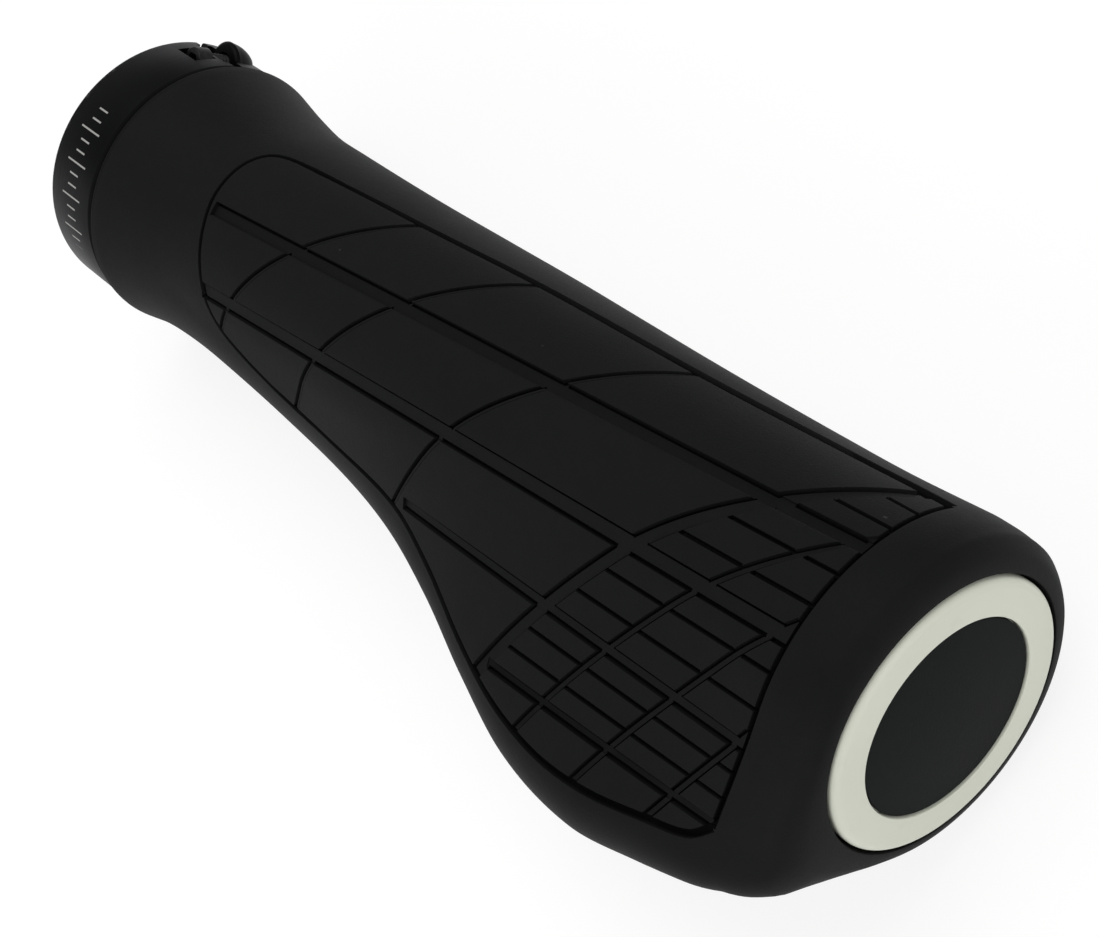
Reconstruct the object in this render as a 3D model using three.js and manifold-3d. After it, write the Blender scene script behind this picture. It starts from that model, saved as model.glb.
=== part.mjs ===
// Ergonomic bicycle handlebar grip for the right hand, in millimetres.
// +X runs outboard along the bar, the palm wing points to -Y and the palm rests on +Z.
import * as THREE from 'three';
import { mergeVertices } from 'three/addons/utils/BufferGeometryUtils.js';
import Module from 'manifold-3d';

const wasm = await Module();
wasm.setup();

// Driving sizes
const barDiameter = 22.2;
const barClearance = 0.1;
const coreWall = 1.4;
const seatGap = 0.3;
const overallLength = 134.6;

const ringWidth = 10.2;
const ringWall = 3.6;
const ringChamfer = 0.6;
const clampAngle = 153;
const slitWidth = 1.2;
const slitReliefWidth = 2.2;
const slitReliefDepth = 2.0;

const screwRadius = 1.25;
const screwHeadRadius = 1.8;
const screwHeadLength = 2;
const screwKeyWidth = 2;
const screwKeyDepth = 1.1;
const screwReach = 4.5;
const screwSpacing = 2.3;
const screwInset = 4.7;
const keyRoom = 0.9;
const headWall = 1.5;
const lugWall = 1.35;
const lugGrip = 2.2;

const collarStart = 0.6;
const collarSlotWidth = 1.6;
const collarSlotLength = 7.5;
const collarSlots = 3;
const keyWidth = 4;
const keyHeight = 2.2;
const keyInset = 16;
const keyLength = 44;

const plugRadius = 14.05;
const plugHeadThickness = 2.8;
const plugProud = 0.5;
const plugEdge = 0.9;
const plugWall = 1.6;
const spigotLength = 12;
const spigotSlotWidth = 2.4;
const inlayRadius = 10.2;
const inlayThickness = 0.8;
const inlaySunk = 0.2;

const flangeSkin = 4.0;
const waistSkin = 1.6;
const heelSkin = 4.5;
const wingReach = 12.9;
const wingRise = 2.0;
const endLip = 0.35;
const heelInset = 6.1;
const shoulderLength = 7.5;
const shoulderSwing = 3.1;
const shoulderTurn = 13;
const shoulderPower = 2.4;
const collarBand = 7.0;
const planSpacing = 10;

const borderGroove = { width: 1.0, depth: 0.85 };
const channelGroove = { width: 1.5, depth: 0.8 };
const arcGroove = { width: 0.9, depth: 0.75 };
const rowGroove = { width: 0.8, depth: 0.65 };

// Sizes that follow from those above
const boreRadius = barDiameter / 2 + barClearance;
const coreRadius = boreRadius + coreWall;
const seatRadius = coreRadius + seatGap;
const ringRadius = seatRadius + ringWall;
const screwAxisRadius = seatRadius + screwSpacing;
const sleeveStart = ringWidth + seatGap;
const sleeveEnd = overallLength - plugProud;
const sleeveLength = sleeveEnd - sleeveStart;
const plugSeat = overallLength - plugHeadThickness;
const coreEnd = plugSeat - seatGap;
const heelStart = sleeveLength - heelInset;
const patternEnd = sleeveLength - collarBand;
const endRadius = plugRadius + seatGap + endLip;

// The sleeve's shape at stations along it, as shares of its length up to the heel. The rubber
// swells from the waist by a share of the flange and of the heel, the wing stands out by a share
// of its reach, its edge is rounded by a share of the radius and it lifts by a share of its rise.
const stations = [
  { along: 0.0, flange: 1, heel: 0, wing: 0, edge: 0.83, rise: 0 },
  { along: 0.055, flange: 0.46, heel: 0, wing: 0.008, edge: 0.83, rise: 0 },
  { along: 0.115, flange: 0.04, heel: 0, wing: 0.047, edge: 0.85, rise: 0 },
  { along: 0.175, flange: 0, heel: 0, wing: 0.054, edge: 0.83, rise: 0 },
  { along: 0.295, flange: 0, heel: 0.035, wing: 0.089, edge: 0.75, rise: 0 },
  { along: 0.42, flange: 0, heel: 0.172, wing: 0.14, edge: 0.633, rise: 0.05 },
  { along: 0.508, flange: 0, heel: 0.276, wing: 0.248, edge: 0.556, rise: 0.15 },
  { along: 0.593, flange: 0, heel: 0.328, wing: 0.469, edge: 0.498, rise: 0.3 },
  { along: 0.678, flange: 0, heel: 0.379, wing: 0.752, edge: 0.462, rise: 0.5 },
  { along: 0.763, flange: 0, heel: 0.466, wing: 0.965, edge: 0.429, rise: 0.75 },
  { along: 0.849, flange: 0, heel: 0.586, wing: 0.991, edge: 0.383, rise: 1.04 },
  { along: 0.917, flange: 0, heel: 0.714, wing: 0.835, edge: 0.338, rise: 1.3 },
  { along: 1.0, flange: 0, heel: 1, wing: 0.569, edge: 0.2, rise: 1.77 },
];

function between(table, key, along) {
  const last = table.length - 1;
  let i = 0;
  while (i < last - 1 && along > table[i + 1].along) i += 1;
  const slope = (k) => {
    const a = table[Math.max(k - 1, 0)];
    const b = table[Math.min(k + 1, last)];
    return (b[key] - a[key]) / (b.along - a.along);
  };
  const span = table[i + 1].along - table[i].along;
  const t = THREE.MathUtils.clamp((along - table[i].along) / span, 0, 1);
  const start = table[i][key];
  const end = table[i + 1][key];
  return start * (1 + 2 * t) * (1 - t) ** 2 + slope(i) * span * t * (1 - t) ** 2
    + end * t * t * (3 - 2 * t) + slope(i + 1) * span * t * t * (t - 1);
}

function sleeveSection(x) {
  const along = THREE.MathUtils.clamp(x / heelStart, 0, 1);
  const radius = seatRadius + waistSkin + (flangeSkin - waistSkin) * between(stations, 'flange', along)
    + (heelSkin - waistSkin) * between(stations, 'heel', along);
  const reach = radius + wingReach * between(stations, 'wing', along);
  const edge = radius * between(stations, 'edge', along);
  return { radius, edge, tip: new THREE.Vector2(edge - reach, wingRise * between(stations, 'rise', along)) };
}

// Distance from the bar's axis to the taut outline round the body circle and the wing's edge.
// The angle starts at the wing and turns over the palm side.
function outlineRadius(section, angle) {
  const { radius, edge, tip } = section;
  const direction = new THREE.Vector2(-Math.cos(angle), Math.sin(angle));
  const ahead = direction.dot(tip);
  const root = ahead * ahead - tip.lengthSq() + edge * edge;
  let reach = Math.max(radius, root > 0 ? ahead + Math.sqrt(root) : 0);
  const distance = tip.length();
  if (distance <= radius - edge) return reach;
  const axis = tip.clone().divideScalar(distance);
  const sine = (radius - edge) / distance;
  const cosine = Math.sqrt(1 - sine * sine);
  for (const side of [-1, 1]) {
    const normal = new THREE.Vector2(axis.x * sine - side * axis.y * cosine,
      axis.y * sine + side * axis.x * cosine);
    const facing = normal.dot(direction);
    const straight = radius / facing;
    const foot = straight * direction.dot(axis);
    const onFlank = facing > 0 && foot > radius * sine && foot < distance + edge * sine;
    if (onFlank) reach = Math.max(reach, straight);
  }
  return reach;
}

// Distance from the bar's axis to the skin. The end shoulder is longest just below the wing.
function sleeveReach(x, angle) {
  const swing = Math.cos(angle + THREE.MathUtils.degToRad(shoulderTurn));
  const length = shoulderLength + shoulderSwing * swing;
  const turned = THREE.MathUtils.clamp((x - sleeveLength + length) / length, 0, 1);
  const keep = (1 - turned ** shoulderPower) ** (1 / shoulderPower);
  return endRadius + (outlineRadius(sleeveSection(x), angle) - endRadius) * keep;
}

function sleevePoint(x, angle) {
  const reach = sleeveReach(x, angle);
  return new THREE.Vector3(x, -Math.cos(angle) * reach, Math.sin(angle) * reach);
}

function sleeveNormal(x, angle) {
  const step = 0.02;
  const along = sleevePoint(x + step, angle).sub(sleevePoint(x - step, angle));
  const around = sleevePoint(x, angle + step).sub(sleevePoint(x, angle - step));
  return around.cross(along).normalize();
}

// The angle on the palm side (side 1) or the finger side (side -1) that lies over a plan point.
function angleOver(x, y, side) {
  let low = 0;
  let high = Math.PI;
  for (let k = 0; k < 30; k += 1) {
    const middle = (low + high) / 2;
    if (-Math.cos(middle) * sleeveReach(x, side * middle) < y) low = middle;
    else high = middle;
  }
  return side * low;
}

function solid(geometry) {
  const bare = geometry.clone();
  bare.deleteAttribute('normal');
  bare.deleteAttribute('uv');
  const merged = mergeVertices(bare, 1e-4);
  return new wasm.Manifold(new wasm.Mesh({
    numProp: 3,
    vertProperties: new Float32Array(merged.attributes.position.array),
    triVerts: new Uint32Array(merged.index.array),
  }));
}

function geometryOf(body) {
  const mesh = body.getMesh();
  const geometry = new THREE.BufferGeometry();
  geometry.setAttribute('position', new THREE.BufferAttribute(mesh.vertProperties, 3));
  geometry.setIndex(new THREE.BufferAttribute(mesh.triVerts, 1));
  geometry.computeVertexNormals();
  return geometry;
}

function cut(body, cutters) {
  return cutters.reduce((left, cutter) => left.subtract(solid(cutter)), body);
}

function piece(name, body, look) {
  const mesh = new THREE.Mesh(geometryOf(body), new THREE.MeshStandardMaterial(look));
  mesh.name = name;
  return mesh;
}

// A turned solid about the X axis from [x, radius] pairs.
function turned(profile, segments = 48) {
  const points = profile.map(([x, radius]) => new THREE.Vector2(radius, x));
  return new THREE.LatheGeometry(points, segments).rotateZ(-Math.PI / 2);
}

function rod(start, end, radius, segments = 48) {
  const length = end - start;
  return new THREE.CylinderGeometry(radius, radius, length, segments)
    .rotateZ(-Math.PI / 2).translate((start + end) / 2, 0, 0);
}

function block(size, centre) {
  return new THREE.BoxGeometry(...size).translate(...centre);
}

// A box bent along a path on the sleeve, sunk by the groove's depth.
function grooveCutter(path, groove, angleAt) {
  const above = 1.2;
  const lengths = path.slice(1).map(([x, y], k) => Math.hypot(x - path[k][0], y - path[k][1]));
  const length = lengths.reduce((sum, part) => sum + part, 0);
  const pieces = Math.max(2, Math.ceil(length / grooveStep));
  const curve = new THREE.CatmullRomCurve3(path.map(([x, y]) => new THREE.Vector3(x, y, 0)), false,
    'centripetal');
  const samples = curve.getSpacedPoints(pieces).map(({ x, y }) => {
    const angle = angleAt(x, y);
    return { place: sleevePoint(x, angle), normal: sleeveNormal(x, angle) };
  });
  const height = above + groove.depth;
  const box = new THREE.BoxGeometry(pieces, groove.width, height, pieces, 1, 1);
  box.translate(pieces / 2, 0, height / 2 - groove.depth);
  const position = box.attributes.position;
  for (let i = 0; i < position.count; i += 1) {
    const k = Math.round(position.getX(i));
    const { place, normal } = samples[k];
    const before = samples[Math.max(k - 1, 0)].place;
    const after = samples[Math.min(k + 1, pieces)].place;
    const forward = after.clone().sub(before).projectOnPlane(normal).normalize();
    const across = normal.clone().cross(forward);
    const point = place.clone().addScaledVector(across, position.getY(i))
      .addScaledVector(normal, position.getZ(i));
    position.setXYZ(i, point.x, point.y, point.z);
  }
  return box;
}

// The palm pattern is laid out in plan, seen from above the palm: along as a share of its length
// and across in steps of the plan's spacing.
const grooveStep = 7;
const farSide = [
  [1.0, 1.52], [0.956, 1.5], [0.757, 1.33], [0.548, 1.2], [0.39, 1.05], [0.296, 0.97], [0.2, 0.87],
];
const inboardTurn = [
  [0.168, 0.76], [0.155, 0.5], [0.155, 0.05], [0.164, -0.32], [0.178, -0.72], [0.196, -1.04], [0.225, -1.21],
];
const nearSide = [
  [0.31, -1.35], [0.41, -1.42], [0.532, -1.53], [0.605, -1.8], [0.685, -2.19], [0.75, -2.42],
  [0.819, -2.53], [0.879, -2.48], [0.939, -2.31], [0.978, -2.17], [0.996, -1.98],
];
const lanes = [
  { name: 'far edge', from: [0.96, 1.51], to: [1.0, 1.52] },
  { name: 'upper channel', from: [0.155, -0.12], to: [1.0, 0.78] },
  { name: 'middle channel', from: [0.18, -0.95], to: [1.0, -0.25] },
  { name: 'wing channel', from: [0.548, -1.44], to: [1.0, -1.24] },
  { name: 'edge channel', from: [0.725, -2.15], to: [0.997, -1.96] },
];
const rowsInLane = 2;
const arcShares = [0.298, 0.442, 0.628, 0.844, 0.929, 1.006, 1.074];
const firstCrossArc = 3;
const arcLean = 0.87;
const arcBend = 0.08;

const onPlan = ([share, across]) => [share * patternEnd, across * planSpacing];
const onPattern = ([share, degrees]) => [share * patternEnd, degrees];
const palmAngle = (x, y) => angleOver(x, y, 1);
const fingerAngle = (x, degrees) => THREE.MathUtils.degToRad(degrees);

function edgeAt(points, share) {
  const table = points.map(([along, y]) => ({ along, y })).sort((a, b) => a.along - b.along);
  return between(table, 'y', THREE.MathUtils.clamp(share, table[0].along, table[table.length - 1].along));
}

const bordersBelow = [...inboardTurn.filter(([, across]) => across < -0.5), ...nearSide];
const arcAt = (foot, across) => foot * patternEnd + (arcLean * across + arcBend * across ** 2) * planSpacing;

function arcPath(foot) {
  const path = [];
  for (let across = 1.55; across >= -2.55; across -= 0.025) {
    const share = arcAt(foot, across) / patternEnd;
    const inside = share < 1 && across < edgeAt(farSide, share) && across > edgeAt(bordersBelow, share);
    if (inside) path.push([share, across]);
  }
  return path.filter((point, k) => k % 12 === 0 || k === path.length - 1).map(onPlan);
}

function laneY(lane, share) {
  const [startShare, startY] = lane.from;
  const [endShare, endY] = lane.to;
  return startY + (endY - startY) * (share - startShare) / (endShare - startShare);
}

function rowPath(upper, lower, part) {
  const y = (share) => THREE.MathUtils.lerp(laneY(upper, share), laneY(lower, share), part);
  let share = 1;
  while (share * patternEnd > arcAt(arcShares[firstCrossArc], y(share))) share -= 0.005;
  return [share, (share + 1) / 2, 1].map((place) => onPlan([place, y(place)]));
}

function palmCutters() {
  const border = [...farSide, ...inboardTurn, ...nearSide].map(onPlan);
  const outboard = [[1.0, 1.52], [1.0, 0.2], [1.0, -1.1], [0.996, -1.98]].map(onPlan);
  const cutters = [
    grooveCutter(border, borderGroove, palmAngle),
    grooveCutter(outboard, borderGroove, palmAngle),
  ];
  lanes.slice(1).forEach((lane) => {
    const middle = (lane.from[0] + lane.to[0]) / 2;
    const path = [lane.from, [middle, laneY(lane, middle)], lane.to].map(onPlan);
    cutters.push(grooveCutter(path, channelGroove, palmAngle));
  });
  arcShares.forEach((foot) => cutters.push(grooveCutter(arcPath(foot), arcGroove, palmAngle)));
  for (let k = 0; k < lanes.length - 1; k += 1) {
    for (let row = 1; row <= rowsInLane; row += 1) {
      const path = rowPath(lanes[k], lanes[k + 1], row / (rowsInLane + 1));
      cutters.push(grooveCutter(path, rowGroove, palmAngle));
    }
  }
  return cutters;
}

// The finger side carries a plain ribbed panel inside its own border.
const fingerBorder = [
  [0.2, 200], [0.24, 183], [0.4, 179], [0.7, 179], [0.9, 180], [0.94, 190], [0.945, 235],
  [0.93, 284], [0.87, 297], [0.68, 302], [0.42, 314], [0.27, 317], [0.21, 302], [0.195, 250],
];
const fingerRibs = 7;
const fingerShares = [0.27, 0.87];

function fingerCutters() {
  const closed = [...fingerBorder, fingerBorder[0]].map(onPattern);
  const cutters = [grooveCutter(closed, arcGroove, fingerAngle)];
  for (let k = 0; k < fingerRibs; k += 1) {
    const share = THREE.MathUtils.lerp(fingerShares[0], fingerShares[1], k / (fingerRibs - 1));
    const path = [[share + 0.035, 180], [share + 0.01, 215], [share, 245], [share, 275], [share + 0.01, 299]];
    cutters.push(grooveCutter(path.map(onPattern), rowGroove, fingerAngle));
  }
  return cutters;
}

// Rubber sleeve: a lofted body with the wing, bored for the core and grooved.
const sleeveRings = 26;
const sleeveSides = 42;
const wingCrowding = 0.42;

function sleeveLoft() {
  const loft = new THREE.CylinderGeometry(1, 1, 1, sleeveSides, sleeveRings);
  const position = loft.attributes.position;
  for (let i = 0; i < position.count; i += 1) {
    const share = position.getY(i) + 0.5;
    const x = sleeveLength * (1 - (1 - share) ** 1.3);
    const turn = Math.atan2(position.getX(i), position.getZ(i));
    const spread = Math.hypot(position.getX(i), position.getZ(i));
    const even = Math.PI - turn;
    const angle = even - wingCrowding * Math.sin(even);
    const reach = spread * sleeveReach(x, angle);
    position.setXYZ(i, x, -Math.cos(angle) * reach, Math.sin(angle) * reach);
  }
  return loft;
}

function rubberSleeve() {
  const keyway = block([keyLength + 2 * seatGap, keyHeight + coreWall + seatGap, keyWidth + 2 * seatGap],
    [sleeveLength - keyInset - keyLength / 2, -coreRadius - (keyHeight - coreWall + seatGap) / 2, 0]);
  const bore = [
    rod(-1, sleeveLength + 1, seatRadius),
    rod(plugSeat - seatGap - sleeveStart, sleeveLength + 1, plugRadius + seatGap),
    keyway,
  ];
  return cut(solid(sleeveLoft()), [...bore, ...palmCutters(), ...fingerCutters()]);
}

// Core sleeve: a glass-filled nylon tube. Its slotted collar is squeezed by the clamp ring.
function coreSleeve() {
  const length = coreEnd - collarStart;
  const key = block([keyLength, keyHeight + coreWall / 2, keyWidth],
    [sleeveEnd - keyInset - keyLength / 2 - collarStart, -coreRadius - keyHeight / 2 + coreWall / 4, 0]);
  const slots = Array.from({ length: collarSlots }, (_, k) => {
    const slot = block([collarSlotLength + 1, 2 * coreRadius, collarSlotWidth],
      [(collarSlotLength - 1) / 2, coreRadius, 0]);
    return slot.rotateX((k + 0.5) * 2 * Math.PI / collarSlots);
  });
  const tube = solid(rod(0, length, coreRadius)).add(solid(key));
  return cut(tube, [rod(-1, length + 1, boreRadius), ...slots]);
}

// Clamp ring: turned aluminium, split beside the screw, with a domed threaded lug.
// Parts that belong to the screw are placed along its axis, which touches a circle round the bar.
const clampTurn = THREE.MathUtils.degToRad(clampAngle);
const screwFrame = new THREE.Matrix4().makeBasis(
  new THREE.Vector3(0, Math.sin(clampTurn), Math.cos(clampTurn)),
  new THREE.Vector3(1, 0, 0),
  new THREE.Vector3(0, Math.cos(clampTurn), -Math.sin(clampTurn)),
).setPosition(screwInset, -Math.cos(clampTurn) * screwAxisRadius, Math.sin(clampTurn) * screwAxisRadius);
const alongScrew = (geometry) => geometry.applyMatrix4(screwFrame);
const lugRadius = screwRadius + seatGap + lugWall;
const screwTip = screwReach - headWall;
const lugEnd = screwTip + lugGrip;
const lugDome = [[0.25, 1], [0.46, 0.93], [0.67, 0.78], [0.87, 0.52], [1, 0.2]];

function clampRing() {
  const bandProfile = [
    [0, seatRadius], [0, ringRadius - ringChamfer], [ringChamfer, ringRadius],
    [ringWidth - ringChamfer, ringRadius], [ringWidth, ringRadius - ringChamfer], [ringWidth, seatRadius],
    [0, seatRadius],
  ];
  const dome = lugDome.map(([along, across]) => [along * lugEnd, across * lugRadius]);
  const lug = turned([[0, 0], [0, lugRadius], ...dome, [lugEnd, 0]], 20);
  const band = solid(turned(bandProfile, 52)).add(solid(alongScrew(lug)));
  const pocketLength = screwHeadLength + keyRoom;
  const headPocket = block([pocketLength, 2 * (screwHeadRadius + seatGap), 2 * ringWall],
    [-headWall - pocketLength / 2, 0, -ringWall]);
  const headBore = rod(-headWall - pocketLength, -headWall, screwHeadRadius + seatGap, 20);
  const shankBore = rod(-headWall - 1, screwTip + seatGap, screwRadius + seatGap, 16);
  const slit = block([slitWidth, 2 * ringWidth, 4 * lugRadius], [0, 0, 0]);
  const relief = block([slitReliefWidth, 2 * (lugRadius + seatGap), 2 * ringWall],
    [0, 0, screwAxisRadius - ringRadius + slitReliefDepth - ringWall]);
  return cut(band, [
    rod(-1, ringWidth + 1, seatRadius, 52), alongScrew(headPocket), alongScrew(headBore),
    alongScrew(shankBore), alongScrew(slit), alongScrew(relief),
  ]);
}

function clampScrew() {
  const headStart = -screwHeadLength;
  const bevel = 0.3;
  const body = turned([
    [headStart, 0], [headStart, screwHeadRadius - bevel], [headStart + bevel, screwHeadRadius],
    [0, screwHeadRadius], [0, screwRadius], [screwReach - bevel, screwRadius],
    [screwReach, screwRadius - bevel], [screwReach, 0],
  ], 24);
  const socket = new THREE.CylinderGeometry(1, 1, 1, 6).scale(screwKeyWidth / Math.sqrt(3), screwKeyDepth * 2,
    screwKeyWidth / Math.sqrt(3)).rotateZ(-Math.PI / 2).translate(headStart, 0, 0);
  return cut(solid(body), [socket]);
}

// End plug: a white rimmed head on a slotted spigot, with a round pocket for the inlay.
function endPlug() {
  const spigotRadius = boreRadius - seatGap;
  const pocketDepth = inlayThickness + inlaySunk;
  const bevel = plugEdge * (1 - Math.SQRT1_2);
  const profile = [
    [-spigotLength, spigotRadius - plugWall], [-spigotLength, spigotRadius - 0.5],
    [-spigotLength + 0.8, spigotRadius], [0, spigotRadius], [0, plugRadius],
    [plugHeadThickness - plugEdge, plugRadius], [plugHeadThickness - bevel, plugRadius - bevel],
    [plugHeadThickness, plugRadius - plugEdge], [plugHeadThickness, inlayRadius + seatGap / 2],
    [plugHeadThickness - pocketDepth, inlayRadius + seatGap / 2], [plugHeadThickness - pocketDepth, 0],
    [0, 0], [0, spigotRadius - plugWall], [-spigotLength, spigotRadius - plugWall],
  ];
  const slots = [0, Math.PI / 2].map((turn) => block(
    [spigotLength - 2, 4 * spigotRadius, spigotSlotWidth],
    [-spigotLength / 2 - 2, 0, 0],
  ).rotateX(turn));
  return cut(solid(turned(profile, 40)), slots);
}

const looks = {
  rubber: { color: 0x1c1d1c, roughness: 0.86, metalness: 0 },
  nylon: { color: 0x232426, roughness: 0.6, metalness: 0 },
  anodised: { color: 0x1d1e20, roughness: 0.38, metalness: 0.85 },
  steel: { color: 0x8a8c8e, roughness: 0.32, metalness: 1 },
  whitePlastic: { color: 0xcfd1c5, roughness: 0.5, metalness: 0 },
  grained: { color: 0x232626, roughness: 0.88, metalness: 0 },
};

const grip = new THREE.Group();

const clamp = new THREE.Group();
const ring = piece('clamp_ring', clampRing(), looks.anodised);
const screw = piece('clamp_screw', clampScrew(), looks.steel);
screw.position.setX(-headWall);
const screwSeat = new THREE.Group();
screwSeat.applyMatrix4(screwFrame);
screwSeat.add(screw);
clamp.add(ring, screwSeat);

const sleeve = new THREE.Group();
sleeve.position.setX(sleeveStart);
const rubber = piece('rubber_sleeve', rubberSleeve(), looks.rubber);
const core = piece('core_sleeve', coreSleeve(), looks.nylon);
core.position.setX(collarStart - sleeveStart);
sleeve.add(rubber, core);

const end = new THREE.Group();
end.position.setX(plugSeat);
const plug = piece('end_plug', endPlug(), looks.whitePlastic);
const inlay = piece('end_plug_inlay', solid(rod(0, inlayThickness, inlayRadius)), looks.grained);
inlay.position.setX(plugHeadThickness - inlaySunk - inlayThickness);
end.add(plug, inlay);

grip.add(clamp, sleeve, end);

export default grip;
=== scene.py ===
import math
import bpy
import numpy as np
from mathutils import Matrix, Vector


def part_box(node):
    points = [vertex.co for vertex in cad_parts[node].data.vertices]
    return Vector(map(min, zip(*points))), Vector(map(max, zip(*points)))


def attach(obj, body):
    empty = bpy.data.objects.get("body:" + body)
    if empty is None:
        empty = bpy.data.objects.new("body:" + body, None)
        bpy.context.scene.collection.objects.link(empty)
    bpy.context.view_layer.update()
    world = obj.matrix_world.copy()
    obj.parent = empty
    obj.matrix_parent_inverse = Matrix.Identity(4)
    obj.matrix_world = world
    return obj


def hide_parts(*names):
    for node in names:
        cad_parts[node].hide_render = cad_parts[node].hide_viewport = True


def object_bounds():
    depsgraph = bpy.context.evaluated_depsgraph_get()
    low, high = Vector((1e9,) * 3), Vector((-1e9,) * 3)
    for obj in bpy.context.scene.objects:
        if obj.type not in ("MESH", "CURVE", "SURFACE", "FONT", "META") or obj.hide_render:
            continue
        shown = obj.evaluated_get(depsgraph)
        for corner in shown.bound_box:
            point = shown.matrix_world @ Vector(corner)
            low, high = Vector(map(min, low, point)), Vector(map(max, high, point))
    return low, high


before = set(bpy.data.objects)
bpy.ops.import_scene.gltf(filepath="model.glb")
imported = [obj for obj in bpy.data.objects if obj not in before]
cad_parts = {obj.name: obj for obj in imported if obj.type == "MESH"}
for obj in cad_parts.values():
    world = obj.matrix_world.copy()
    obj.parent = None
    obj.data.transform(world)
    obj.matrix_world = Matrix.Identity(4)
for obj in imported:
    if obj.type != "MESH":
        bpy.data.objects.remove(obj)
cad_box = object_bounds()


# Rubber sleeve
# The moulded grip body. One soft black rubber skin carries the palm wing, the grooved palm
# panel and the ribbed finger panel, and it is moulded over the nylon core.
MM = 0.001
SLEEVE_LOW, SLEEVE_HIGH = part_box("rubber_sleeve")
SLEEVE_START = SLEEVE_LOW[0] / MM
SLEEVE_LENGTH = (SLEEVE_HIGH[0] - SLEEVE_LOW[0]) / MM
PLUG_LOW, PLUG_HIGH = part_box("end_plug")
PLUG_RADIUS = PLUG_HIGH[1] / MM
HEAD_THICKNESS = 2.8
PLUG_SEAT = PLUG_HIGH[0] / MM - HEAD_THICKNESS
FIT_GAP = 0.3
END_LIP = 0.35
END_RADIUS = PLUG_RADIUS + FIT_GAP + END_LIP
BORE = 12.9
HEEL_INSET = 6.1
SHOULDER = 7.5
SHOULDER_SWING = 3.1
SHOULDER_TURN = math.radians(13)
SHOULDER_POWER = 2.4
SMOOTH_COLLAR = 7.0
RIDGE_INSET, RIDGE_WIDTH, RIDGE_HEIGHT = 1.8, 0.55, 0.16
PATTERN_END = SLEEVE_LENGTH - SMOOTH_COLLAR

# Share of the length up to the heel, radius, wing reach, radius and height of the wing's edge
STATIONS = np.array([
    (0.0, 16.9, 16.9, 14.0, 0.0),
    (0.055, 15.6, 15.7, 13.0, 0.0),
    (0.115, 14.6, 15.2, 12.5, 0.0),
    (0.175, 14.5, 15.2, 12.0, 0.0),
    (0.295, 14.6, 15.75, 11.0, 0.0),
    (0.42, 15.0, 16.8, 9.5, 0.1),
    (0.508, 15.3, 18.5, 8.5, 0.3),
    (0.593, 15.45, 21.5, 7.7, 0.6),
    (0.678, 15.6, 25.3, 7.2, 0.9),
    (0.763, 15.85, 28.3, 6.8, 1.5),
    (0.849, 16.2, 28.98, 6.2, 2.08),
    (0.917, 16.57, 27.34, 5.6, 2.6),
    (1.0, 17.4, 24.74, 3.48, 3.54),
])


def through(table, column, share):
    """Smooth curve through one column of a table, read at a share of the length."""
    at, value = table[:, 0], table[:, column]
    slope = np.empty(len(at))
    slope[1:-1] = (value[2:] - value[:-2]) / (at[2:] - at[:-2])
    slope[0] = (value[1] - value[0]) / (at[1] - at[0])
    slope[-1] = (value[-1] - value[-2]) / (at[-1] - at[-2])
    share = np.clip(share, at[0], at[-1])
    i = np.clip(np.searchsorted(at, share, side="right") - 1, 0, len(at) - 2)
    span = at[i + 1] - at[i]
    t = (share - at[i]) / span
    return (value[i] * (1 + 2 * t) * (1 - t) ** 2 + slope[i] * span * t * (1 - t) ** 2
            + value[i + 1] * t * t * (3 - 2 * t) + slope[i + 1] * span * t * t * (t - 1))


def sleeve_outline(x, angle):
    """The taut outline round the body circle and the wing's edge circle, as a distance from the
    bar's axis."""
    share = x / (SLEEVE_LENGTH - HEEL_INSET)
    radius, reach = through(STATIONS, 1, share), through(STATIONS, 2, share)
    edge, tip_z = through(STATIONS, 3, share), through(STATIONS, 4, share)
    tip_y = edge - reach
    way_y, way_z = -np.cos(angle), np.sin(angle)
    ahead = way_y * tip_y + way_z * tip_z
    root = ahead ** 2 - tip_y ** 2 - tip_z ** 2 + edge ** 2
    out = np.maximum(radius, np.where(root > 0, ahead + np.sqrt(np.maximum(root, 0)), 0))
    distance = np.maximum(np.hypot(tip_y, tip_z), 1e-9)
    sine = np.clip((radius - edge) / distance, -1, 1)
    cosine = np.sqrt(1 - sine ** 2)
    axis_y, axis_z = tip_y / distance, tip_z / distance
    for side in (-1, 1):
        normal_y = axis_y * sine - side * axis_z * cosine
        normal_z = axis_z * sine + side * axis_y * cosine
        facing = normal_y * way_y + normal_z * way_z
        straight = radius / np.where(facing > 1e-6, facing, 1e-6)
        foot = straight * (way_y * axis_y + way_z * axis_z)
        flank = (facing > 1e-6) & (foot > radius * sine) & (foot < distance + edge * sine)
        flank &= distance > radius - edge
        out = np.where(flank, np.maximum(out, straight), out)
    return out


def sleeve_reach(x, angle):
    """Distance from the bar's axis to the skin. The angle turns from the wing over the palm."""
    x, angle = np.broadcast_arrays(np.asarray(x, float), np.asarray(angle, float))
    length = SHOULDER + SHOULDER_SWING * np.cos(angle + SHOULDER_TURN)
    turned = np.clip((x - SLEEVE_LENGTH + length) / length, 0, 1)
    keep = (1 - turned ** SHOULDER_POWER) ** (1 / SHOULDER_POWER)
    ridge = RIDGE_HEIGHT * np.exp(-((SLEEVE_LENGTH - x - RIDGE_INSET) / RIDGE_WIDTH) ** 2)
    return END_RADIUS + (sleeve_outline(x, angle) - END_RADIUS) * keep + ridge


def sleeve_point(x, angle):
    reach = sleeve_reach(x, angle)
    return np.stack([x + 0 * reach, -np.cos(angle) * reach, np.sin(angle) * reach], -1)


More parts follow.
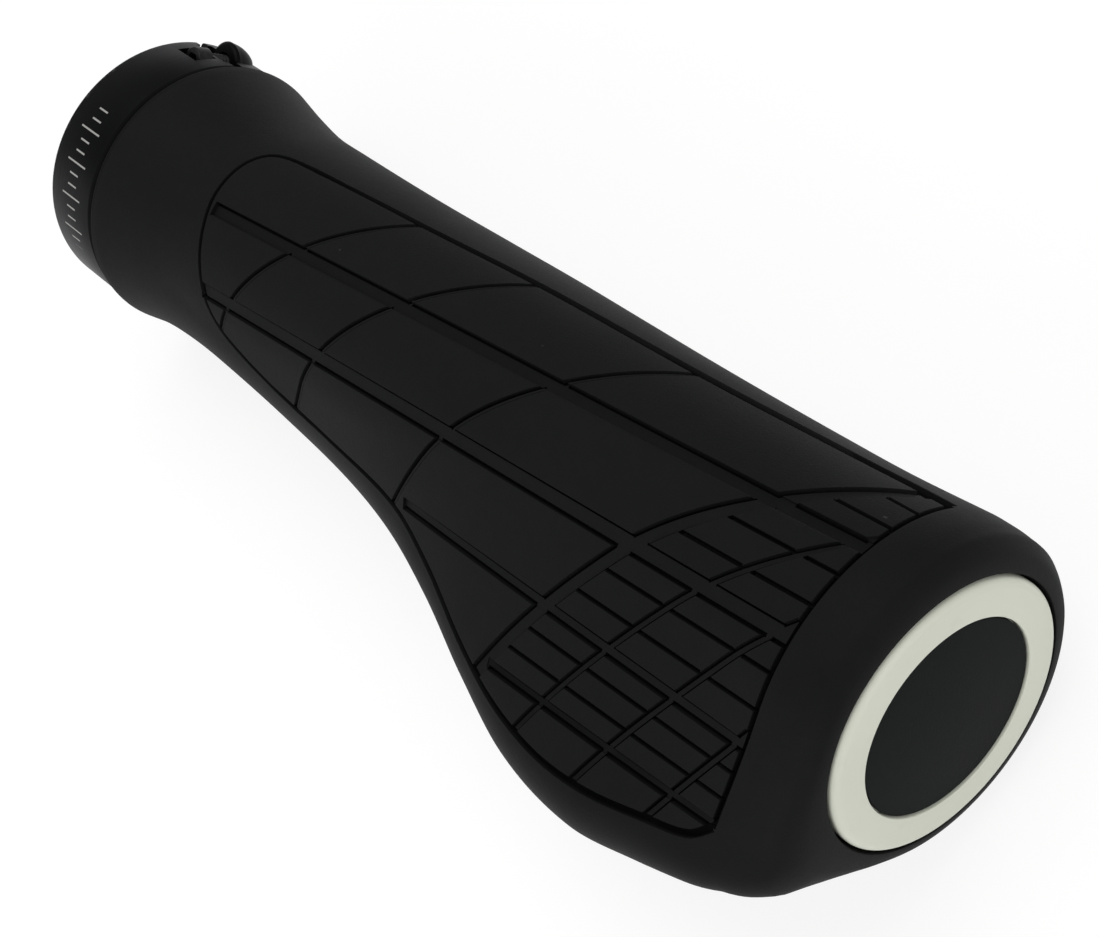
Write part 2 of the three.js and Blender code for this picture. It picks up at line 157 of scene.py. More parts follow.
def sleeve_normal(x, angle):
    step = 0.02
    along = sleeve_point(x + step, angle) - sleeve_point(x - step, angle)
    around = sleeve_point(x, angle + step) - sleeve_point(x, angle - step)
    normal = np.cross(along, around)
    return normal / np.linalg.norm(normal, axis=-1, keepdims=True)


HALVINGS = 34


def palm_angle(x, y):
    """The angle on the palm side that lies over a plan point."""
    low, high = np.zeros(len(x)), np.full(len(x), math.pi)
    for _ in range(HALVINGS):
        middle = (low + high) / 2
        below = -np.cos(middle) * sleeve_reach(x, middle) < y
        low, high = np.where(below, middle, low), np.where(below, high, middle)
    return low


def finger_angle(x, degrees):
    return np.radians(degrees)


def deselect():
    if bpy.context.object and bpy.context.object.mode != "OBJECT":
        bpy.ops.object.mode_set(mode="OBJECT")
    bpy.ops.object.select_all(action="DESELECT")


def choose(piece):
    deselect()
    piece.select_set(True)
    bpy.context.view_layer.objects.active = piece


def settle(piece, name):
    """Puts the piece's place into its mesh and gives both their name."""
    choose(piece)
    bpy.ops.object.transform_apply(location=True, rotation=True, scale=True)
    piece.name = name
    piece.data.name = name
    return piece


def smooth(piece, degrees):
    """Smooth shading, but for edges sharper than an angle."""
    choose(piece)
    bpy.ops.object.shade_smooth_by_angle(angle=math.radians(degrees))


def carve(piece, tool, operation="DIFFERENCE"):
    """Cuts or joins a tool solid, which is then thrown away."""
    choose(piece)
    change = piece.modifiers.new("carve", "BOOLEAN")
    change.operation = operation
    change.solver = "MANIFOLD"
    change.object = tool
    bpy.ops.object.modifier_apply(modifier=change.name)
    bpy.data.objects.remove(tool, do_unlink=True)


def add_block(low, high, frame_matrix=None):
    """A box between two corners, or between two corners in a given frame."""
    deselect()
    low, high = Vector(low) * MM, Vector(high) * MM
    bpy.ops.mesh.primitive_cube_add(size=1, location=(low + high) / 2, scale=high - low)
    block = settle(bpy.context.object, "block")
    return move_to(block, frame_matrix)


def move_to(piece, frame_matrix):
    if frame_matrix is None:
        return piece
    piece.matrix_world = frame_matrix
    return settle(piece, piece.name)


SKIN_RINGS = 150
SKIN_SIDES = 176
BORE_RINGS = 30
END_CROWDING = 1.25
WING_CROWDING = 0.38
FLANGE_EDGE = 0.35


def skin_rings():
    """Rings of the closed sleeve: x, and a radius where the ring is round, or None on the skin."""
    share = np.linspace(0, 1, SKIN_RINGS)
    skin_length = SLEEVE_LENGTH - FLANGE_EDGE
    rings = [(x, None) for x in FLANGE_EDGE + skin_length * (1 - (1 - share) ** END_CROWDING)]
    pocket = PLUG_RADIUS + FIT_GAP
    pocket_floor = PLUG_SEAT - FIT_GAP - SLEEVE_START
    rings += [(SLEEVE_LENGTH, pocket + 0.1), (SLEEVE_LENGTH - 0.1, pocket)]
    rings += [(pocket_floor, pocket), (pocket_floor, BORE)]
    rings += [(x, BORE) for x in np.linspace(pocket_floor, 0, BORE_RINGS)[1:]]
    flange = float(sleeve_reach(0, math.pi))
    rings += [(0, flange - FLANGE_EDGE), (FLANGE_EDGE * 0.3, flange - FLANGE_EDGE * 0.3)]
    return rings


def make_skin():
    """The uncut sleeve, from a torus whose corners go to the rings."""
    rings = skin_rings()
    deselect()
    bpy.ops.mesh.primitive_torus_add(major_segments=SKIN_SIDES, minor_segments=len(rings))
    skin = bpy.context.object
    turn = np.arange(SKIN_SIDES) / SKIN_SIDES * 2 * math.pi
    angle = turn - WING_CROWDING * np.sin(turn)
    place = np.empty((SKIN_SIDES, len(rings), 3))
    for k, (x, radius) in enumerate(rings):
        if radius is None:
            place[:, k] = sleeve_point(x, angle)
        else:
            place[:, k] = np.stack([x + 0 * angle, -radius * np.cos(angle), radius * np.sin(angle)], -1)
    place[..., 0] += SLEEVE_START
    skin.data.vertices.foreach_set("co", (place * MM).ravel())
    bpy.ops.object.mode_set(mode="EDIT")
    bpy.ops.mesh.select_all(action="SELECT")
    bpy.ops.mesh.remove_doubles(threshold=1e-7)
    bpy.ops.mesh.normals_make_consistent(inside=False)
    bpy.ops.object.mode_set(mode="OBJECT")
    return settle(skin, "rubber_skin")


def smooth_path(points, step):
    """Evenly spaced points on a rounded curve through plan points."""
    points = np.array(points, float)
    chords = np.linalg.norm(np.diff(points, axis=0), axis=1)
    at = np.concatenate([[0], np.cumsum(chords)])
    table = np.column_stack([at, points])
    fine = np.linspace(0, at[-1], 400)
    dense = np.column_stack([through(table, 1, fine), through(table, 2, fine)])
    run = np.concatenate([[0], np.cumsum(np.linalg.norm(np.diff(dense, axis=0), axis=1))])
    count = max(4, int(run[-1] / step))
    even = np.linspace(0, run[-1], count + 1)
    return np.column_stack([np.interp(even, run, dense[:, 0]), np.interp(even, run, dense[:, 1])])


EVEN_FLARES = (0.03, 0.03)


def groove_profile(width, depth, flares):
    """Cross-section of a moulded groove: short rolled lips, upright walls and a flat floor."""
    half, lip, above = width / 2, 0.08, 0.6
    near_side, far_side = [[(half + flare + 0.3, above), (half + flare, 0.0),
                            (half, -lip - 0.3 * flare), (half - 0.02, 0.1 - depth),
                            (half - 0.06, -depth)] for flare in flares]
    return np.array(far_side + [(-across, up) for across, up in reversed(near_side)])


def groove_tool(path, angle_at, width, depth, flares=EVEN_FLARES, offset=0.0, swell=0.0):
    """A solid along a path on the skin, or beside it, that widens by a share of its width. It is
    made from its corners, because no operator keeps a cross-section upright on a curved skin."""
    x, across = path[:, 0], path[:, 1]
    angle = angle_at(x, across)
    place, normal = sleeve_point(x, angle), sleeve_normal(x, angle)
    forward = np.gradient(place, axis=0)
    forward -= normal * np.sum(forward * normal, axis=1, keepdims=True)
    forward /= np.linalg.norm(forward, axis=1, keepdims=True)
    sideways = np.cross(normal, forward)
    profile = groove_profile(width, depth, flares)
    count, sides = len(path), len(profile)
    spread = offset + np.outer(1 + swell * np.linspace(0, 1, count), profile[:, 0])
    corners = place[:, None] + sideways[:, None] * spread[:, :, None]
    corners += normal[:, None] * profile[None, :, 1:]
    corners[..., 0] += SLEEVE_START
    faces = []
    for k in range(count - 1):
        for j in range(sides):
            n = (j + 1) % sides
            faces.append((k * sides + j, k * sides + n, (k + 1) * sides + n, (k + 1) * sides + j))
    faces.append(tuple(reversed(range(sides))))
    faces.append(tuple((count - 1) * sides + j for j in range(sides)))
    mesh = bpy.data.meshes.new("groove_tool")
    mesh.from_pydata((corners.reshape(-1, 3) * MM).tolist(), [], faces)
    tool = bpy.data.objects.new("groove_tool", mesh)
    bpy.context.scene.collection.objects.link(tool)
    choose(tool)
    bpy.ops.object.mode_set(mode="EDIT")
    bpy.ops.mesh.select_all(action="SELECT")
    bpy.ops.mesh.normals_make_consistent(inside=False)
    bpy.ops.object.mode_set(mode="OBJECT")
    return tool


# The palm panel in plan, by share of the pattern's length and place across the bar. Its border
# runs inboard on the far side, turns, and comes back on the near side.
FAR_SIDE = [(1.0, 15.2), (0.956, 15.0), (0.757, 13.3), (0.548, 12.0), (0.39, 10.5), (0.296, 9.7),
            (0.2, 8.7)]
INBOARD_TURN = [(0.168, 7.6), (0.155, 5.0), (0.155, 0.5), (0.164, -3.2), (0.178, -7.2),
                (0.196, -10.4), (0.225, -12.1)]
NEAR_SIDE = [(0.31, -13.5), (0.41, -14.2), (0.532, -15.3), (0.605, -18), (0.685, -21.9),
             (0.75, -24.2), (0.819, -25.3), (0.879, -24.8), (0.939, -23.1), (0.978, -21.7),
             (0.996, -19.8)]
OUTBOARD_SIDE = [(1.0, 15.2), (1.0, 2), (1.0, -11), (0.996, -19.8)]
BORDER_WIDTH, BORDER_DEPTH = 0.52, 0.85
SIDE_WIDTH = 0.5
NEAR_DEPTH, NEAR_SWELL = 0.87, 0.6
FAR_DEPTH, FAR_SWELL = 0.88, 2.0
OUTBOARD_WIDTH, OUTBOARD_DEPTH = 0.56, 0.83
# Each lane runs straight in plan: start share and place, end share and place, width, depth, the
# near and far flare, and the near and far slot. The first is the far border, with no lane cut.
LANES = [
    (0.96, 15.1, 1.0, 15.2, 0, 0, (0, 0), (0, 0)),
    (0.165, -1.1, 1.0, 7.8, 1.6, 0.46, (0.3, 0.03), (0, 0.32)),
    (0.187, -9.44, 1.0, -2.5, 1.9, 0.3, (0.04, 0.03), (0.4, 0.22)),
    (0.548, -14.4, 1.0, -12.4, 1.3, 0.3, (0.04, 0.03), (0.38, 0.22)),
    (0.725, -21.5, 0.997, -19.6, 1.1, 0.34, (0.04, 0.03), (0.38, 0.2)),
]
# Each arc crosses the lanes: its foot on the bar's line, width, depth, and the inboard and the
# outboard slot.
ARCS = [
    (0.298, 0.8, 0.1, (0.44, 0)),
    (0.442, 0.8, 0.1, (0.44, 0)),
    (0.628, 0.8, 0.1, (0.44, 0)),
    (0.852, 1.7, 0.28, (0.36, 0.18)),
    (0.929, 0.9, 0.28, (0.26, 0.2)),
    (1.006, 0.9, 0.28, (0.26, 0.2)),
    (1.074, 0.9, 0.28, (0.26, 0.2)),
]
FIRST_CROSS_ARC = 3
ARC_LEAN = 0.87
ARC_BEND = 0.008
ARC_REACH = np.arange(15.5, -25.5, -0.1)
SLOT_DEPTH, SLOT_STAGGER = 0.9, 0.02
ROW_WIDTH, ROW_DEPTH = 0.4, 0.66
ROW_SHARES = np.arange(0.6, 1.0, 0.001)
ROW_CORNER, SLOT_CORNER = 0.1, 0.25
STEP = 0.8


def plan(points):
    return [(share * PATTERN_END, y) for share, y in points]


def edge_at(points, share):
    table = np.array(sorted(points), float)
    return through(table, 1, share)


def arc_x(foot, y):
    return foot * PATTERN_END + ARC_LEAN * y + ARC_BEND * y * y


def lane_y(lane, share):
    return lane[1] + (lane[3] - lane[1]) * (share - lane[0]) / (lane[2] - lane[0])


def beside(points, offset):
    """Plan points moved to the left of their path."""
    ahead = np.gradient(points, axis=0)
    ahead /= np.linalg.norm(ahead, axis=1, keepdims=True)
    return points + offset * np.column_stack([-ahead[:, 1], ahead[:, 0]])


def off_lanes(points, margin):
    """Where plan points lie outside every lane."""
    share, clear = points[:, 0] / PATTERN_END, np.ones(len(points), bool)
    for lane in LANES[1:]:
        within = np.abs(points[:, 1] - lane_y(lane, share)) < lane[4] / 2 - margin
        clear &= ~within | (share < lane[0])
    return clear


def off_arcs(points, margin):
    """Where plan points lie outside every arc."""
    clear = np.ones(len(points), bool)
    for foot, width, *_ in ARCS:
        slope = ARC_LEAN + 2 * ARC_BEND * points[:, 1]
        gap = np.abs(points[:, 0] - arc_x(foot, points[:, 1])) / np.hypot(1, slope)
        clear &= gap > width / 2 - margin
    return clear


def in_border(points):
    """Where plan points lie inside the palm panel."""
    share, y = points[:, 0] / PATTERN_END, points[:, 1]
    near_edge = edge_at(INBOARD_TURN[3:] + NEAR_SIDE, share)
    return (share < 1) & (y < edge_at(FAR_SIDE, share)) & (y > near_edge)


def stretches(points, kept):
    """Smooth paths through the runs of kept points on a finely divided path."""
    for part in np.split(np.arange(len(points)), np.flatnonzero(np.diff(kept.astype(int))) + 1):
        if kept[part[0]] and len(part) > 8:
            few = np.linspace(0, len(part) - 1, max(3, len(part) // 14)).astype(int)
            yield smooth_path(points[part[few]], STEP)


def band_tools(points, inside, width, depth, flares, slots, clear):
    """A shallow band, and a slot along each of its edges where nothing crosses it."""
    for path in stretches(points, inside):
        yield groove_tool(path, palm_angle, width, depth, flares)
    for side, slot in zip((-1, 1), slots):
        if slot:
            offset = side * (width - slot) / 2
            kept = inside & clear(beside(points, offset), SLOT_CORNER)
            for path in stretches(points, kept):
                yield groove_tool(path, palm_angle, slot, SLOT_DEPTH - SLOT_STAGGER * side,
                                  offset=offset)


def border_tool(points, width, depth, swell=0.0):
    return groove_tool(smooth_path(plan(points), STEP), palm_angle, width, depth, swell=swell)


def palm_tools():
    yield border_tool(FAR_SIDE + INBOARD_TURN + NEAR_SIDE, BORDER_WIDTH, BORDER_DEPTH)
    yield border_tool(NEAR_SIDE, SIDE_WIDTH, NEAR_DEPTH, NEAR_SWELL)
    yield border_tool(FAR_SIDE[::-1], SIDE_WIDTH, FAR_DEPTH, FAR_SWELL)
    yield border_tool(OUTBOARD_SIDE, OUTBOARD_WIDTH, OUTBOARD_DEPTH)
    for lane in LANES[1:]:
        share = np.linspace(lane[0], lane[2], 900)
        points = np.column_stack([share * PATTERN_END, lane_y(lane, share)])
        yield from band_tools(points, share > 0, *lane[4:], off_arcs)
    for foot, width, depth, slots in ARCS:
        points = np.column_stack([arc_x(foot, ARC_REACH), ARC_REACH])
        yield from band_tools(points, in_border(points), width, depth, EVEN_FLARES, slots, off_lanes)
    first_foot, first_width = ARCS[FIRST_CROSS_ARC][:2]
    for upper, lower in zip(LANES[:-1], LANES[1:]):
        for part in (1 / 3, 2 / 3):
            y = lane_y(upper, ROW_SHARES) * (1 - part) + lane_y(lower, ROW_SHARES) * part
            points = np.column_stack([ROW_SHARES * PATTERN_END, y])
            kept = (points[:, 0] > arc_x(first_foot, y) + first_width / 2) & off_arcs(points, ROW_CORNER)
            for path in stretches(points, kept):
                yield groove_tool(path, palm_angle, ROW_WIDTH, ROW_DEPTH)


# The finger panel's border, by share of the pattern's length and angle in degrees.
FINGER_BORDER = [(0.2, 200), (0.24, 183), (0.4, 179), (0.7, 179), (0.9, 180), (0.94, 190),
                 (0.945, 235), (0.93, 284), (0.87, 297), (0.68, 302), (0.42, 314), (0.27, 317),
                 (0.21, 302), (0.195, 250), (0.2, 200)]
FINGER_BORDER_SIZE = (0.75, 0.74)
FINGER_RIBS = 7
FINGER_RIB_START, FINGER_RIB_SPAN = 0.27, 0.6
FINGER_RIB_SIZE = (0.65, 0.65)


def finger_tools():
    yield groove_tool(smooth_path(plan(FINGER_BORDER), STEP / 2), finger_angle, *FINGER_BORDER_SIZE)
    for k in range(FINGER_RIBS):
        share = FINGER_RIB_START + FINGER_RIB_SPAN * k / (FINGER_RIBS - 1)
        points = [(share + 0.035, 180), (share + 0.01, 215), (share, 245), (share, 275),
                  (share + 0.01, 299)]
        yield groove_tool(smooth_path(plan(points), STEP / 2), finger_angle, *FINGER_RIB_SIZE)


# The keyway on the wing side takes the rib of the core tube.
RIB_LENGTH, RIB_INSET, RIB_WIDTH, RIB_TOP = 44, 16, 4, 14.8


def add_rib(room):
    start = SLEEVE_START + SLEEVE_LENGTH - RIB_INSET - RIB_LENGTH
    return add_block((start - room, -RIB_TOP - room, -RIB_WIDTH / 2 - room),
                     (start + RIB_LENGTH + room, 1 - BORE, RIB_WIDTH / 2 + room))


def note_depth(piece):
    """Keeps how far each corner lies below the uncut skin, in millimetres, for the painted groove shade in
    the material.
    """
    place = np.empty(len(piece.data.vertices) * 3)
    piece.data.vertices.foreach_get("co", place)
    x, y, z = place.reshape(-1, 3).T / MM
    skin_reach = sleeve_reach(np.clip(x - SLEEVE_START, 0, SLEEVE_LENGTH), np.arctan2(z, -y))
    depth = piece.data.attributes.new("sunk", "FLOAT", "POINT")
    depth.data.foreach_set("value", np.clip(skin_reach - np.hypot(y, z), 0, 1))


skin = make_skin()
for tool in [*palm_tools(), *finger_tools(), add_rib(FIT_GAP)]:
    carve(skin, tool)
note_depth(skin)
smooth(skin, 38)
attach(skin, "root")
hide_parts("rubber_sleeve")


class Wire:
    """A shader socket. Arithmetic on it adds Math nodes, and make() adds a node of any other type."""

    def __init__(self, tree, socket=None):
        self.tree = tree
        self.socket = socket

    def make(self, kind, settings, sockets, output=0):
        node = self.tree.nodes.new(kind)
        for name, value in settings.items():
            setattr(node, name, value)
        for name, value in sockets.items():
            if isinstance(value, Wire):
                self.tree.links.new(value.socket, node.inputs[name])
            else:
                node.inputs[name].default_value = value
        return Wire(self.tree, node.outputs[output])

    def maths(self, operation, first, second=0.0):
        return self.make("ShaderNodeMath", {"operation": operation}, {0: first, 1: second})

    def above(self, start, end):
        """A mask that rises from 0 to 1 between two values."""
        return self.make("ShaderNodeMapRange", {"interpolation_type": "SMOOTHSTEP"},
                         {"Value": self, "From Min": start, "From Max": end})

    def tint(self, low, high):
        """A colour between two others, each given or wired, by this value."""
        ends = [end if isinstance(end, Wire) else (*end, 1) for end in (low, high)]
        return self.make("ShaderNodeMix", {"data_type": "RGBA"}, {0: self, 6: ends[0], 7: ends[1]}, 2)

    def noise(self, place, scale, detail=3, roughness=0.55):
        sockets = {"Vector": place, "Scale": scale, "Detail": detail, "Roughness": roughness}
        return self.make("ShaderNodeTexNoise", {}, sockets, "Fac")

    def axes(self):
        """Object coordinates and their three parts in millimetres."""
        place = self.make("ShaderNodeTexCoord", {}, {}, "Object")
        parts = [self.make("ShaderNodeSeparateXYZ", {}, {0: place}, k) for k in range(3)]
        return [place] + [part * (1 / MM) for part in parts]

    def bump(self, height, distance, strength=1.0):
        sockets = {"Height": height, "Distance": distance, "Strength": strength}
        return self.make("ShaderNodeBump", {}, sockets)

    def __add__(self, other):
        return self.maths("ADD", self, other)

    def __sub__(self, other):
        return self.maths("SUBTRACT", self, other)

    def __rsub__(self, other):
        return self.maths("SUBTRACT", other, self)

    def __mul__(self, other):
        return self.maths("MULTIPLY", self, other)

    def __truediv__(self, other):
        return self.maths("DIVIDE", self, other)

    def __abs__(self):
        return self.maths("ABSOLUTE", self)

    __radd__ = __add__
    __rmul__ = __mul__


def finish_of(piece, name, constants):
    """Gives a piece a new material, and returns its shader and a wire to build with."""
    made = bpy.data.materials.new(name)
    made.use_nodes = True
    shader = made.node_tree.nodes["Principled BSDF"]
    for socket, value in constants.items():
        shader.inputs[socket].default_value = value
    piece.data.materials.clear()
    piece.data.materials.append(made)
    return shader, Wire(made.node_tree)


def feed(shader, **values):
    """Links wires to the shader's sockets, whose names have no spaces here."""
    sockets = {"colour": "Base Color", "roughness": "Roughness", "metallic": "Metallic", "normal": "Normal"}
    for name, wire in values.items():
        wire.tree.links.new(wire.socket, shader.inputs[sockets[name]])


# Moulded skin: near black, dull, with a fine stipple, a faint bloom and a few specks of dust. Painted shade
# darkens the grooves by their depth, and the rubber's edge beside the clamp band.
shader, wire = finish_of(skin, "moulded_rubber", {"Specular IOR Level": 0.12})
place, x, y, z = wire.axes()
bloom = wire.noise(place, 34, 4, 0.6).above(0.35, 0.72)
mottle = wire.noise(place, 420, 3)
stipple = wire.noise(place, 5200, 2)
cells = wire.make("ShaderNodeTexVoronoi", {}, {"Vector": place, "Scale": 210}, "Distance")
chance = wire.noise(place, 95, 1).above(0.585, 0.6)
speck = (1 - cells.above(0.035, 0.06)) * chance
# Painted shade: the rubber's first 0.35 mm beside the clamp band is darkened to its darkest tone, fading out
# by 0.8 mm.
seam_shading = x.above(SLEEVE_START + 0.35, SLEEVE_START + 0.8)
# Painted shade: the grooves are darkened, and made duller, by how far they lie below the uncut skin.
groove_shade = wire.make("ShaderNodeAttribute", {"attribute_name": "sunk"}, {}, "Fac").above(0.36, 0.62)
shade = (0.32 + bloom * 0.3 + mottle * 0.38) * seam_shading - groove_shade * 0.9
shade = shade.tint((0.0012, 0.0016, 0.0013), (0.0058, 0.0066, 0.006))
colour = (speck * 0.6).tint(shade, (0.06, 0.06, 0.057))
ripple = wire.noise(place, 900, 2)
feed(shader, colour=colour, roughness=0.56 + bloom * 0.08 + stipple * 0.14 + groove_shade * 0.2,
     normal=wire.bump(stipple * 0.6 + ripple * 0.4 + speck, 0.00005, 0.8))


# Clamp band
# The inboard band that grips the bar. Turned from aluminium, split beside its screw and
# anodised black, with a domed lug for the screw's thread and pale index ticks on its rim.
RING_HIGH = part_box("clamp_ring")[1]
RING_WIDTH = RING_HIGH[0] / MM
RING_RADIUS = RING_HIGH[2] / MM
RING_CHAMFER = 0.6
SCREW_SEAT = 15.2
SCREW_INSET = 4.7
SCREW_TURN = math.radians(153)
SCREW_RADIUS = 1.25
HEAD_RADIUS = 1.8
HEAD_LENGTH = 2.0
HEAD_WALL = 1.5
KEY_ROOM = 0.9
SCREW_TIP = 3.0
LUG_RADIUS = SCREW_RADIUS + FIT_GAP + 1.35
LUG_END = 5.2
LUG_ROUND = 0.6
LUG_DOME = np.array([(0.25, 1), (0.46, 0.93), (0.67, 0.78), (0.87, 0.52), (1, 0.2)])
SLIT = 1.2
RELIEF_WIDTH = 2.2
RELIEF_DEPTH = 2.0
OPEN_AIR = -8
SCREW_FRAME = Matrix((
    (0, 1, 0, SCREW_INSET * MM),
    (math.sin(SCREW_TURN), 0, math.cos(SCREW_TURN), -math.cos(SCREW_TURN) * SCREW_SEAT * MM),
    (math.cos(SCREW_TURN), 0, -math.sin(SCREW_TURN), math.sin(SCREW_TURN) * SCREW_SEAT * MM),
    (0, 0, 0, 1),
))


def add_rod(start, end, radius, sides=160, frame_matrix=None):
    """A cylinder along X, or along the axis of a given frame."""
    deselect()
    bpy.ops.mesh.primitive_cylinder_add(vertices=sides, radius=radius * MM, depth=(end - start) * MM,
                                        location=((start + end) / 2 * MM, 0, 0), rotation=(0, math.pi / 2, 0))
    rod = settle(bpy.context.object, "rod")
    return move_to(rod, frame_matrix)


def select_parts(piece, kind, test):
    """Enters edit mode with the faces or edges selected whose corners all pass a test."""
    choose(piece)
    bpy.ops.object.mode_set(mode="EDIT")
    bpy.ops.mesh.select_mode(type=kind)
    bpy.ops.mesh.select_all(action="DESELECT")
    bpy.ops.object.mode_set(mode="OBJECT")
    mesh = piece.data
    for part in mesh.polygons if kind == "FACE" else mesh.edges:
        part.select = all(test(*(mesh.vertices[i].co / MM)) for i in part.vertices)
    bpy.ops.object.mode_set(mode="EDIT")


def round_edges(piece, test, size, segments):
    """Bevels the edges whose corners pass a test."""
    select_parts(piece, "EDGE", test)
    bpy.ops.mesh.bevel(offset=size * MM, segments=segments, affect="EDGES")
    bpy.ops.object.mode_set(mode="OBJECT")


def near(value, target):
    return abs(value - target) < 0.02


def make_tube(start, end, outer, inner, name):
    """A tube along X: both ends of a cylinder inset, and bridged through."""
    tube = add_rod(start, end, outer)
    select_parts(tube, "FACE", lambda x, y, z: near(x, start))
    bpy.ops.mesh.inset(thickness=(outer - inner) * MM)
    select_parts(tube, "FACE", lambda x, y, z: near(x, end) and math.hypot(y, z) > outer - 0.02)
    bpy.ops.mesh.inset(thickness=(outer - inner) * MM)
    select_parts(tube, "FACE", lambda x, y, z: math.hypot(y, z) < inner + 0.02)
    bpy.ops.mesh.bridge_edge_loops()
    bpy.ops.mesh.select_all(action="SELECT")
    bpy.ops.mesh.normals_make_consistent(inside=False)
    bpy.ops.object.mode_set(mode="OBJECT")
    return settle(tube, name)


band = make_tube(0, RING_WIDTH, RING_RADIUS, BORE, "clamp_band")
for end in (0, RING_WIDTH):
    round_edges(band, lambda x, y, z: near(x, end) and math.hypot(y, z) > RING_RADIUS - 0.02, RING_CHAMFER, 3)
    round_edges(band, lambda x, y, z: near(x, end) and math.hypot(y, z) < BORE + 0.02, 0.3, 1)
# The lug is drawn out ring by ring: a rounded front edge first, then the dome's falling back.
bend = np.linspace(0, math.pi / 2, 6)
lug_at = RELIEF_WIDTH / 2 + LUG_ROUND * (1 - np.cos(bend))
lug_width = LUG_RADIUS - LUG_ROUND * (1 - np.sin(bend))
lug_share = np.linspace(lug_at[-1] / LUG_END, 1, 12)[1:]
lug_at = np.append(lug_at, lug_share * LUG_END)
lug_width = np.append(lug_width, LUG_RADIUS * through(LUG_DOME, 1, lug_share))
lug = add_rod(0, lug_at[0], lug_width[0], 64)
select_parts(lug, "FACE", lambda x, y, z: near(x, lug_at[0]))
for k in range(1, len(lug_at)):
    ahead = (lug_at[k] - lug_at[k - 1]) * MM
    shrink = lug_width[k] / lug_width[k - 1]
    bpy.ops.mesh.extrude_region_move(TRANSFORM_OT_translate={"value": (ahead, 0, 0)})
    bpy.ops.transform.resize(value=(1, shrink, shrink), center_override=(0, 0, 0))
bpy.ops.object.mode_set(mode="OBJECT")
carve(band, move_to(lug, SCREW_FRAME), "UNION")
carve(band, add_rod(-1, RING_WIDTH + 1, BORE))
pocket_start = -HEAD_WALL - HEAD_LENGTH - KEY_ROOM
pocket_half = HEAD_RADIUS + FIT_GAP
carve(band, add_rod(pocket_start, -HEAD_WALL, pocket_half, 64, SCREW_FRAME))
carve(band, add_block((pocket_start, -pocket_half, OPEN_AIR), (-HEAD_WALL, pocket_half, 0), SCREW_FRAME))
carve(band, add_rod(-HEAD_WALL - 1, SCREW_TIP + FIT_GAP, SCREW_RADIUS + FIT_GAP, 48, SCREW_FRAME))
carve(band, add_block((-SLIT / 2, -RING_WIDTH, -6), (SLIT / 2, RING_WIDTH, 6), SCREW_FRAME))
relief_floor = SCREW_SEAT - RING_RADIUS + RELIEF_DEPTH
relief_half = LUG_RADIUS + FIT_GAP
relief_low = (-RELIEF_WIDTH / 2, -relief_half, OPEN_AIR)
relief_high = (RELIEF_WIDTH / 2, relief_half, relief_floor)
carve(band, add_block(relief_low, relief_high, SCREW_FRAME))
smooth(band, 28)
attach(band, "root")
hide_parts("clamp_ring")

# Black anodising over fine turning marks, rubbed paler along the rims, with printed ticks, and painted shade
# beside the rubber and in the pocket and relief.
TICK_START, TICK_END = 28, 93
TICK_STEP = 5
shader, wire = finish_of(band, "black_anodising", {"Specular IOR Level": 0.15,
                                                   "Specular Tint": (0.6, 0.6, 0.62, 1)})
place, x, y, z = wire.axes()
radius = wire.maths("SQRT", y * y + z * z)
degrees = wire.maths("ARCTAN2", z, y * -1) * (180 / math.pi)
turning = wire.make("ShaderNodeCombineXYZ", {}, {"X": x * 6, "Y": radius * 6, "Z": degrees * 0.01})
turning = wire.noise(turning, 1.0, 3, 0.7)
cloud = wire.noise(place, 160, 3)
rim = 1 - abs(x - RING_CHAMFER).above(0.05, 0.4)
rubbed = rim * radius.above(RING_RADIUS - 1, RING_RADIUS - 0.2) * wire.noise(place, 700, 4).above(0.5, 0.75)
in_step = abs(wire.maths("FRACT", degrees / TICK_STEP) - 0.5) * TICK_STEP
tick = 1 - in_step.above(0.32, 0.46)
long_tick = 1 - abs(wire.maths("FRACT", degrees / (3 * TICK_STEP)) - 0.5).above(0.15, 0.17)
off_middle = abs(x - RING_WIDTH / 2)
tick_top = 1 - off_middle.above(0.9, 1.0) * (1 - long_tick) - off_middle.above(2.0, 2.1)
tick = tick * wire.maths("MAXIMUM", tick_top, 0) * degrees.above(TICK_START - 0.5, TICK_START)
tick = tick * (1 - degrees.above(TICK_END, TICK_END + 0.5))
tick = tick * radius.above(RING_RADIUS - 0.3, RING_RADIUS - 0.1)
# Painted shade: where the band meets the rubber it is darkened and made dull and not metallic, so that it
# shows no reflection.
seam_shading = 1 - x.above(RING_WIDTH - RING_CHAMFER - 0.45, RING_WIDTH - RING_CHAMFER - 0.1)
# Painted shade: away from its ends, the band is darkened below its outer surface, in the screw's pocket, the
# slit, the relief and the bore.
pocket = 1 - radius.above(RING_RADIUS - 1.8, RING_RADIUS - 0.3)
pocket = pocket * x.above(1.0, 1.4) * (1 - x.above(8.8, 9.2))
shade = (turning * 0.6 + cloud * 0.4) * seam_shading - pocket
shade = shade.tint((0.0015, 0.0017, 0.0018), (0.005, 0.0054, 0.0057))
shade = (rubbed * 0.3).tint(shade, (0.2, 0.2, 0.21))
colour = (tick * 0.9).tint(shade, (0.42, 0.42, 0.4))
feed(shader, colour=colour, metallic=(0.5 - tick * 0.48) * seam_shading,
     roughness=0.9 - seam_shading * (0.56 - turning * 0.12 - tick * 0.2),
     normal=wire.bump(turning, 0.00002, 0.6))


